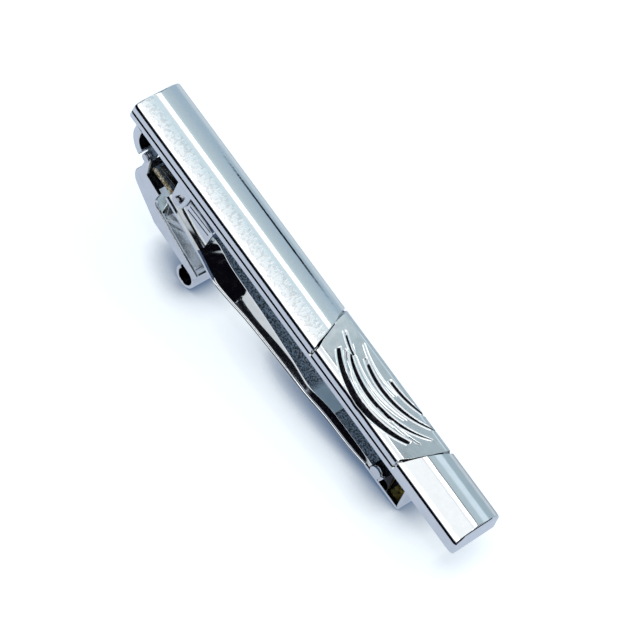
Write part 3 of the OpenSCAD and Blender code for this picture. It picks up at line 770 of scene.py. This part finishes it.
def tip_pan():
    """The pan at the jaw's tip: a floor, scalloped and toothed sides, a patch and the end wall. The floor and
    the teeth's sides are painted black as shade, the patch and the wall brass darkened with painted shade.
    """
    half = JAW_TIP_W / 2
    scallop = PAN_LEN * 0.14
    x = PAN_X + scallop * 1.5
    tooth_h = (PAN_DEPTH - TIP_GAP) * 0.8

    def seen(normal):
        return normal.z > 0.5 or normal.x < -0.5

    floor = pressed(box_outline(PAN_X - 0.2, TIP_X - 0.3, PAN_DEPTH - SHEET, PAN_DEPTH), -half, half, 0.06)
    parts = [painted(floor, GROUND, seen)]
    for side in (-1, 1):
        ends = sided(side, half - SHEET - 0.02, half - 0.02)
        for i in (0, 1):
            disc = circle_outline(x + i * 1.8 * scallop, PAN_DEPTH - scallop - 0.02, scallop)
            parts.append(pressed(disc, *ends, 0.06))
        foot = PAN_DEPTH - 0.02
        tooth = [(x + scallop, foot), (x + 2 * scallop, PAN_DEPTH - tooth_h), (x + 3 * scallop, foot)]
        parts.append(painted(pressed(tooth, *ends, 0.05), GROUND, lambda normal: abs(normal.y) > 0.9))
    patch = box_outline(TIP_X - 2.3, TIP_X - 0.7, PAN_DEPTH - SHEET - 0.02, PAN_DEPTH - 0.1)
    parts.append(painted(pressed(patch, -1.45, 1.45, 0.02), BRASS_AND_SHADE, seen))
    parts.append(painted(end_wall(), BRASS_AND_SHADE, seen))
    return parts


def end_wall():
    """The jaw's serrated end wall, leaning back from the pan's corner to the bar."""
    half = JAW_TIP_W / 2 - 0.04
    foot = PAN_DEPTH - 0.02
    teeth = [(-half, TIP_GAP)]
    for y in (-0.65, 0.65):
        teeth += [(y - 0.22, TIP_GAP), (y, 0.34), (y + 0.22, TIP_GAP)]
    teeth += [(half, TIP_GAP), (half, foot), (-half, foot)]
    bm = bmesh.new()
    face = bm.faces.new([bm.verts.new((TIP_X - SHEET, y, -d)) for y, d in teeth])
    extruded(bm, face, (SHEET, 0, 0))
    for vert in bm.verts:
        vert.co.x -= WALL_LEAN * (1 - (-vert.co.z - TIP_GAP) / (PAN_DEPTH - 0.14))
    bmesh.ops.recalc_face_normals(bm, faces=bm.faces)
    low = {v for v in bm.verts if v.co.x > TIP_X - 0.01 and v.co.z < -PAN_DEPTH + 0.03}
    rounded(bm, [e for e in bm.edges if low.issuperset(e.verts)], 0.37, 5)
    rounded(bm, sharp_edges(bm), 0.05)
    return bm


def jaw(materials):
    """The folded jaw with its tail and cheeks, and the toothed pan at its tip."""
    parts = [drawn_sheet(), *tail(), *cheek(-1), *cheek(1), *tip_pan()]
    piece(
        joined(parts), "jaw", "jaw", "jaw_arm", [materials[m] for m in JAW_FINISHES], angle=40
    )


# Tests for the faces of the softened pieces, by a face's middle and its normal in the clip's own frame


def lever_painted_shade(c, n):
    """Whether a face of the lever gets the near-black painted shade: the upper side of its heel's web or
    inside its roll.
    """
    if c.x < 7.4 and n.z > 0.02 and c.z < -5 and abs(c.y) < 2.7:
        return True
    return abs(n.y) < 0.9 and math.hypot(c.x - ROLL[0], -c.z - ROLL[1]) < ROLL_R - 0.15


def painted_shade_inside(c, n):
    """Whether a face of the bracket is an edge or an inner side, which gets the dull navy painted shade of
    the bar's shadow.
    """
    return c.x < 6.8 or c.z < -0.5 and (abs(n.y) < 0.9 or c.y * n.y < 0)


def tail_leg(c):
    """Whether a face of the spring lies on the leg that the jaw's tail carries with it."""
    return c.x < TAIL_LEG_X and -c.z > JAW_PIN[1]


# The stage

# The long panels round the clip, as angles in degrees from straight up with the colour reached there, for
# the half towards the bar's hinge end and the half towards its free end
WHITE, ROOM, BLACK = (1.15, 1.18, 1.2), (0.5, 0.55, 0.65), (0.002, 0.002, 0.004)
NEAR_SIDE = [
    (-180, ROOM), (-92, ROOM), (-90, BLACK), (-62, BLACK), (-59, (0.5, 0.55, 0.6)), (-38, (0.9, 0.93, 0.96)),
    (-20, WHITE),
]
FAR_SIDE = [(84, (0.3, 0.35, 0.4)), (90, (0.01, 0.01, 0.02)), (180, ROOM)]
HINGE_HALF = [
    *NEAR_SIDE, (-6, WHITE), (4, (0.95, 1.05, 1.1)), (12, (0.76, 0.9, 0.97)), (21.4, (0.76, 0.9, 0.97)),
    (21.7, (0.45, 0.53, 0.58)), (22.3, (0.45, 0.53, 0.58)), (22.6, (1.1, 1.16, 1.18)),
    (30.6, (1.1, 1.16, 1.18)), (33, (0.66, 0.79, 0.84)), (38, (0.57, 0.69, 0.75)), (48, (0.5, 0.62, 0.7)),
    (57, (0.44, 0.57, 0.68)), (68, (0.44, 0.57, 0.68)), (72, (0.6, 0.72, 0.8)), (78, (0.7, 0.78, 0.85)),
    *FAR_SIDE,
]
FREE_HALF = [
    *NEAR_SIDE, (21, WHITE), (21.4, (0.4, 0.45, 0.47)), (22.2, (0.4, 0.45, 0.47)), (22.6, WHITE),
    (30.2, WHITE), (30.4, (0.01, 0.012, 0.015)), (31.7, (0.01, 0.012, 0.015)), (31.9, (0.52, 0.63, 0.69)),
    (42, (0.54, 0.66, 0.72)), (46, (0.77, 0.92, 1.02)), (55, (0.77, 0.92, 1.02)), (58, (0.42, 0.54, 0.61)),
    (70, (0.42, 0.54, 0.61)), (75, (0.7, 0.78, 0.85)), *FAR_SIDE,
]
# Where the halves meet and where the panels end, along the bar's direction, from -1 to 1
HALVES_MEET, PANELS_END = (-0.166, -0.158), (0.5, 0.66)
# A thin dark strip: the angle of its middle, its edges in degrees from there, and its two ends
STRIP_ANGLE, STRIP_EDGE = 61.5, (2.7, 1.7)
STRIP_START, STRIP_STOP = (-0.228, -0.222), (-0.176, -0.181)
# The contact shade's reach in metres and how fast it falls off
SHADE_REACH, SHADE_POWER = 0.0045, 2.4
# The slant of the floor's part painted dark for glossy rays, and where in metres it begins and is full
FRONT_SLANT, FRONT_EDGE = -0.15, (-0.0145, -0.0175)


def soft_lamp(name, angle, size, power):
    """An area lamp a metre over the clip, at an angle from straight up towards +Y, turned to the clip."""
    data = bpy.data.lights.new(name, "AREA")
    data.shape = "RECTANGLE"
    data.size, data.size_y = size
    data.energy = power
    lamp = bpy.data.objects.new(name, data)
    a = math.radians(angle)
    lamp.location = (0, math.sin(a), math.cos(a))
    lamp.rotation_euler = (-a, 0, 0)
    bpy.context.scene.collection.objects.link(lamp)


def beside_strip(n, angle, along):
    """How much light is left beside a thin dark strip that fades out towards its two ends."""
    aside = n.math("ABSOLUTE", n.math("SUBTRACT", angle, math.radians(STRIP_ANGLE)))
    across = n.spread(aside, 0, 1, *(math.radians(a) for a in STRIP_EDGE))
    ends = [n.spread(along, 0, 1, *end) for end in (STRIP_START, STRIP_STOP)]
    strip = n.math("MULTIPLY", n.math("MULTIPLY", across, ends[0]), ends[1])
    return n.math("SUBTRACT", 1, strip)


def surroundings():
    """A studio of long panels round the clip, darker past its ends, and white where the camera sees it."""
    world = bpy.data.worlds.new("studio")
    bpy.context.scene.world = world
    world.use_nodes = True
    n = Nodes(world.node_tree)
    way = n.add("ShaderNodeSeparateXYZ", {0: n.turned(n.add("ShaderNodeTexCoord").outputs["Generated"])})
    along = way.outputs["X"]
    angle = n.math("ARCTAN2", way.outputs["Y"], way.outputs["Z"])
    share = n.spread(angle, 0, 1, -math.pi, math.pi)
    halves = []
    for stops in (HINGE_HALF, FREE_HALF):
        ramp = n.add("ShaderNodeValToRGB", {0: share})
        entries = ramp.color_ramp.elements
        entries[0].position, entries[0].color = 0, (*stops[0][1], 1)
        entries[1].position, entries[1].color = 1, (*stops[-1][1], 1)
        for degrees, colour in stops[1:-1]:
            entries.new(degrees / 360 + 0.5).color = (*colour, 1)
        halves.append(ramp.outputs[0])
    half = n.spread(along, 0, 1, *HALVES_MEET)
    panels = n.add("ShaderNodeMix", {"Factor": half, 6: halves[0], 7: halves[1]}, data_type="RGBA")
    light = panels.outputs[2]
    past_ends = n.spread(n.math("ABSOLUTE", along), 1, 0.03, *PANELS_END)
    for dimmed in (beside_strip(n, angle, along), past_ends):
        light = n.add("ShaderNodeVectorMath", {0: light, 3: dimmed}, operation="SCALE").outputs[0]
    back = n.tree.nodes["Background"]
    n.tree.links.new(light, back.inputs["Color"])
    white = n.add("ShaderNodeBackground", {"Color": (1, 1, 1, 1)})
    seen = n.add("ShaderNodeLightPath").outputs["Is Camera Ray"]
    surface = n.mix_shaders(seen, back.outputs[0], white.outputs[0])
    n.tree.links.new(surface, n.tree.nodes["World Output"].inputs["Surface"])


def contact_shade(n, seen, surface):
    """The floor's surface, shaded where the clip stands on it or close above it."""
    sky = n.add("ShaderNodeAmbientOcclusion", {"Distance": SHADE_REACH}, samples=12).outputs["AO"]
    covered = n.math("SUBTRACT", 1, n.math("POWER", sky, SHADE_POWER))
    shade = n.add("ShaderNodeEmission", {"Color": (0.07, 0.13, 0.24, 1)})
    return n.mix_shaders(n.math("MULTIPLY", covered, seen), surface, shade.outputs[0])


def floor_material(look):
    """Pale paper that keeps the clip's shadow and shows near white. In front of the clip it is painted dark
    for glossy rays only, a painted dark reflection in the polished metal."""
    material = bpy.data.materials.new("pale_paper")
    material.use_nodes = True
    n = Nodes(material.node_tree)
    n.tree.nodes.remove(n.tree.nodes["Principled BSDF"])
    rays = n.add("ShaderNodeLightPath").outputs
    surface = n.add("ShaderNodeBsdfDiffuse", {"Color": (*look.floor_colour, 1)}).outputs[0]
    for ray, colour, share, strength in (
        ("Is Camera Ray", look.glow_colour, look.glow_share, look.glow_strength),
        ("Is Glossy Ray", look.mirrored_colour, look.mirrored_share, 1.0),
    ):
        glow = n.add("ShaderNodeEmission", {"Color": (*colour, 1), "Strength": strength})
        surface = n.mix_shaders(n.math("MULTIPLY", rays[ray], share), surface, glow.outputs[0])
    surface = contact_shade(n, rays["Is Camera Ray"], surface)
    place = n.add("ShaderNodeSeparateXYZ", {0: n.add("ShaderNodeTexCoord").outputs["Object"]})
    slanted = n.math("MULTIPLY_ADD", place.outputs["X"], FRONT_SLANT, place.outputs["Y"])
    in_front = n.spread(slanted, 0, 1, *FRONT_EDGE)
    dark = n.add("ShaderNodeEmission", {"Color": (0.006, 0.007, 0.01, 1)})
    unlit = n.math("MULTIPLY", in_front, rays["Is Glossy Ray"])
    surface = n.mix_shaders(unlit, surface, dark.outputs[0])
    n.tree.links.new(surface, n.tree.nodes["Material Output"].inputs["Surface"])
    return material


def pale_floor(look):
    """A large pale sheet under the clip."""
    bm = bmesh.new()
    bmesh.ops.create_grid(bm, x_segments=2, y_segments=2, size=1.5)
    mesh = bpy.data.meshes.new("floor")
    bm.to_mesh(mesh)
    bm.free()
    floor = bpy.data.objects.new("floor", mesh)
    bpy.context.scene.collection.objects.link(floor)
    mesh.materials.append(floor_material(look))


def camera():
    """The camera at the photograph's viewing angle, by its three axes and its place in the clip's frame."""
    data = bpy.data.cameras.new("camera")
    data.sensor_width = 36
    data.lens = 168.75
    data.clip_start, data.clip_end = 0.01, 10
    cam = bpy.data.objects.new("camera", data)
    right = Vector((0.583775, 0.734245, 0.346541))
    down = Vector((0.794178, -0.427669, -0.431718))
    ahead = Vector((-0.168782, 0.527242, -0.832784))
    turn = Matrix.Rotation(LIE, 3, "Y")
    axes = Matrix((turn @ right, turn @ -down, turn @ -ahead)).transposed()
    place = TO_ROW @ Vector((86.5548, -172.6049, 274.0798))
    cam.matrix_world = Matrix.Translation(place) @ axes.to_4x4()
    bpy.context.scene.collection.objects.link(cam)
    bpy.context.scene.camera = cam


# The add-on


class ClipLook(bpy.types.PropertyGroup):
    plate_colour: bpy.props.FloatVectorProperty(
        name="Plating", description="Colour of the bright plating", subtype="COLOR", size=3, min=0, max=1,
        default=(0.8, 0.82, 0.83),
    )
    edge_radius: bpy.props.FloatProperty(
        name="Edge radius", description="Rounding of the sheared sheet edges in millimetres", default=0.05,
        min=0.01, max=0.1,
    )


class StageLook(bpy.types.PropertyGroup):
    floor_colour: bpy.props.FloatVectorProperty(
        name="Floor", description="Colour of the floor", subtype="COLOR", size=3, min=0, max=1,
        default=(0.86, 0.91, 1.0),
    )
    glow_colour: bpy.props.FloatVectorProperty(
        name="Floor's white", description="What the camera sees of an unshaded floor", subtype="COLOR",
        size=3, min=0, max=1, default=(0.93, 0.985, 1.0),
    )
    glow_share: bpy.props.FloatProperty(
        name="White share", description="How much of the floor's look is its own white", subtype="FACTOR",
        default=0.3, min=0, max=1,
    )
    glow_strength: bpy.props.FloatProperty(
        name="White strength", description="Strength of the floor's own white", default=2.3, min=0, max=5,
    )
    mirrored_colour: bpy.props.FloatVectorProperty(
        name="Mirrored floor", description="What the polished metal mirrors of an unshaded floor",
        subtype="COLOR", size=3, min=0, max=1, default=(0.62, 0.7, 0.86),
    )
    mirrored_share: bpy.props.FloatProperty(
        name="Mirrored share", description="How much of the mirrored floor is its own light",
        subtype="FACTOR", default=0.6, min=0, max=1,
    )


class Finish:
    """The materials, made once for all the operators."""

    made = None

    @classmethod
    def get(cls, context):
        if cls.made is None:
            cls.made = make_materials(context.scene.clip_look)
        return cls.made


class CLIP_OT_front(bpy.types.Operator):
    """Builds the domed bar with its engraved panel, and the heel and studs on its back"""

    bl_idname = "clip.front"
    bl_label = "Front bar"

    def execute(self, context):
        materials = Finish.get(context)
        front_bar(materials)
        heel_and_studs(materials)
        return {"FINISHED"}


class CLIP_OT_jaw(bpy.types.Operator):
    """Builds the folded jaw with its toothed tip"""

    bl_idname = "clip.jaw"
    bl_label = "Jaw"

    def execute(self, context):
        jaw(Finish.get(context))
        return {"FINISHED"}


class CLIP_OT_lever(bpy.types.Operator):
    """Rounds and plates the thumb lever"""

    bl_idname = "clip.lever"
    bl_label = "Thumb lever"

    def execute(self, context):
        materials = Finish.get(context)
        radius = context.scene.clip_look.edge_radius
        softened(
            "thumb_lever", "lever", "lever", materials["pressed"], radius, 3,
            dark=(lever_painted_shade, materials["painted_shade"]),
        )
        return {"FINISHED"}


class CLIP_OT_hinge(bpy.types.Operator):
    """Rounds and finishes the bracket, both pins and the leaf spring"""

    bl_idname = "clip.hinge"
    bl_label = "Hinge and spring"

    def execute(self, context):
        materials = Finish.get(context)
        radius = context.scene.clip_look.edge_radius
        softened(
            "hinge_bracket", "bracket", "bar_body", materials["pressed"], radius,
            dark=(painted_shade_inside, materials["inside"]),
        )
        softened("jaw_pin", "jaw_hinge_pin", "bar_body", materials["pin"], radius)
        softened("lever_pin", "lever_hinge_pin", "bar_body", materials["pin"], radius)
        softened(
            "leaf_spring", "hairpin_spring", "bar_body", materials["spring"], radius,
            part=lambda c: not tail_leg(c),
        )
        softened(
            "leaf_spring", "spring_tail_leg", "jaw", materials["spring"], radius,
            part=tail_leg, stands=False,
        )
        return {"FINISHED"}


class CLIP_OT_stage(bpy.types.Operator):
    """Sets the pale floor, the studio light and the camera"""

    bl_idname = "clip.stage"
    bl_label = "Stage"

    def execute(self, context):
        surroundings()
        pale_floor(context.scene.stage_look)
        soft_lamp("overhead_lamp", -15, (1.4, 0.16), 1.0)
        soft_lamp("strip_lamp", 26.5, (1.4, 0.12), 0.62)
        camera()
        context.scene.view_settings.view_transform = "Standard"
        return {"FINISHED"}


class CLIP_PT_panel(bpy.types.Panel):
    """Lists the clip's pieces and its stage"""

    bl_idname = "CLIP_PT_panel"
    bl_label = "Tie clip"
    bl_space_type = "VIEW_3D"
    bl_region_type = "UI"
    bl_category = "Tie clip"

    def draw(self, context):
        layout = self.layout
        layout.prop(context.scene.clip_look, "plate_colour")
        layout.prop(context.scene.clip_look, "edge_radius")
        for operator in PIECES:
            layout.operator(operator.bl_idname)


PIECES = (CLIP_OT_front, CLIP_OT_jaw, CLIP_OT_lever, CLIP_OT_hinge, CLIP_OT_stage)
CLASSES = (ClipLook, StageLook, *PIECES, CLIP_PT_panel)


def register():
    for cls in CLASSES:
        bpy.utils.register_class(cls)
    bpy.types.Scene.clip_look = bpy.props.PointerProperty(type=ClipLook)
    bpy.types.Scene.stage_look = bpy.props.PointerProperty(type=StageLook)


def unregister():
    del bpy.types.Scene.stage_look
    del bpy.types.Scene.clip_look
    for cls in reversed(CLASSES):
        bpy.utils.unregister_class(cls)


def main():
    register()
    clip = bpy.ops.clip
    for run in (clip.front, clip.jaw, clip.lever, clip.hinge, clip.stage):
        if run() != {"FINISHED"}:
            raise RuntimeError("an operator didn't finish")


if __name__ == "__main__":
    main()
